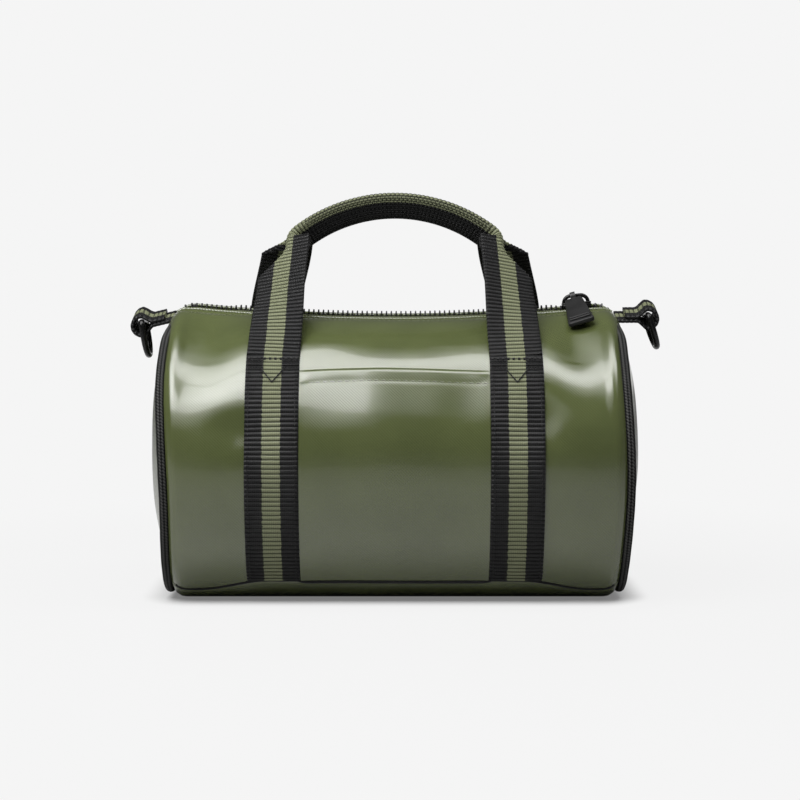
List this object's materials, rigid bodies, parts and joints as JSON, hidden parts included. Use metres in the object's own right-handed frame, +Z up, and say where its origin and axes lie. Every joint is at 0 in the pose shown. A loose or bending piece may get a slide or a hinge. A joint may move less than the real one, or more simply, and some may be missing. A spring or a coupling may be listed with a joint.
{
  "type": "barrel bag",
  "caption": "Barrel-shaped bag of coated canvas with a zipped top that folds open, piped round ends, striped webbing carrying handles and wire rings for a shoulder strap.",
  "frame": {"origin": "middle of the flat base, on the floor", "axes": "+X along the barrel towards the closed end of the zip, -Y the front with the pocket, +Z up"},
  "size_m": [0.2587, 0.151, 0.1961],
  "materials": {
    "coated_canvas": "glossy coating over a fine twill",
    "webbing": "ribbed, black with an olive middle stripe",
    "piping": "woven",
    "piping_cord": "matt",
    "lining": "matt",
    "zip_tape": "woven",
    "zip_teeth": "satin",
    "black_metal": "satin black",
    "puller": "matt",
    "base_board": "matt"
  },
  "bodies": {
    "bag_body": {"front_panel": "coated_canvas", "rear_panel": "coated_canvas", "base_panel": "coated_canvas", "left_end_panel": "coated_canvas", "right_end_panel": "coated_canvas", "left_piping": "piping", "right_piping": "piping", "left_piping_cord": "piping_cord", "right_piping_cord": "piping_cord", "front_pocket": "coated_canvas", "front_left_strap": "webbing", "front_right_strap": "webbing", "rear_left_strap": "webbing", "rear_right_strap": "webbing", "lining_body": "lining", "lining_left_end": "lining", "lining_right_end": "lining", "base_board": "base_board", "left_zip_tape": "zip_tape", "right_zip_tape": "zip_tape", "left_zip_teeth": "zip_teeth", "right_zip_teeth": "zip_teeth", "zip_top_stops": "zip_teeth", "zip_bottom_stop": "zip_teeth", "left_ring_tab": "webbing", "right_ring_tab": "webbing"},
    "front_mouth": {"front_mouth_panel": "coated_canvas", "front_mouth_lining": "lining", "front_zip_tape": "zip_tape", "front_zip_teeth": "zip_teeth"},
    "rear_mouth": {"rear_mouth_panel": "coated_canvas", "rear_mouth_lining": "lining", "rear_zip_tape": "zip_tape", "rear_zip_teeth": "zip_teeth"},
    "front_handle_loop": {"front_handle": "webbing"},
    "rear_handle_loop": {"rear_handle": "webbing"},
    "zip_slider": {"zip_slider": "black_metal", "slider_bail": "black_metal"},
    "zip_puller": {"zip_puller": "puller"},
    "left_ring": {"left_d_ring": "black_metal"},
    "right_ring": {"right_d_ring": "black_metal"}
  },
  "joints": [
    {"name": "front_mouth_fold", "type": "hinge", "parent": "bag_body", "child": "front_mouth", "pos_m": [0, -0.05455, 0.116], "axis": [1, 0, 0], "range_deg": [0, 45]},
    {"name": "rear_mouth_fold", "type": "hinge", "parent": "bag_body", "child": "rear_mouth", "pos_m": [0, 0.05455, 0.116], "axis": [-1, 0, 0], "range_deg": [0, 45]},
    {"name": "front_handle_swing", "type": "hinge", "parent": "front_mouth", "child": "front_handle_loop", "pos_m": [0, -0.05566, 0.11701], "axis": [1, 0, 0], "range_deg": [0, 115]},
    {"name": "rear_handle_swing", "type": "hinge", "parent": "rear_mouth", "child": "rear_handle_loop", "pos_m": [0, 0.05566, 0.11701], "axis": [-1, 0, 0], "range_deg": [0, 115]},
    {"name": "zip_run", "type": "hinge", "parent": "bag_body", "child": "zip_slider", "pos_m": [0, 0, 1.0784], "axis": [0, 1, 0], "range_deg": [0, 10.9], "deforming": ["front_zip_teeth", "rear_zip_teeth", "left_zip_teeth", "right_zip_teeth"]},
    {"name": "puller_swing", "type": "hinge", "parent": "zip_slider", "child": "zip_puller", "pos_m": [0.08931, 0, 0.14507], "axis": [-0.9954, 0, -0.0954], "range_deg": [0, 209]},
    {"name": "left_ring_swing", "type": "hinge", "parent": "bag_body", "child": "left_ring", "pos_m": [-0.12455, 0, 0.132], "axis": [0, 1, 0], "range_deg": [-14, 150]},
    {"name": "right_ring_swing", "type": "hinge", "parent": "bag_body", "child": "right_ring", "pos_m": [0.12455, 0, 0.1355], "axis": [0, -1, 0], "range_deg": [-41, 130]}
  ]
}
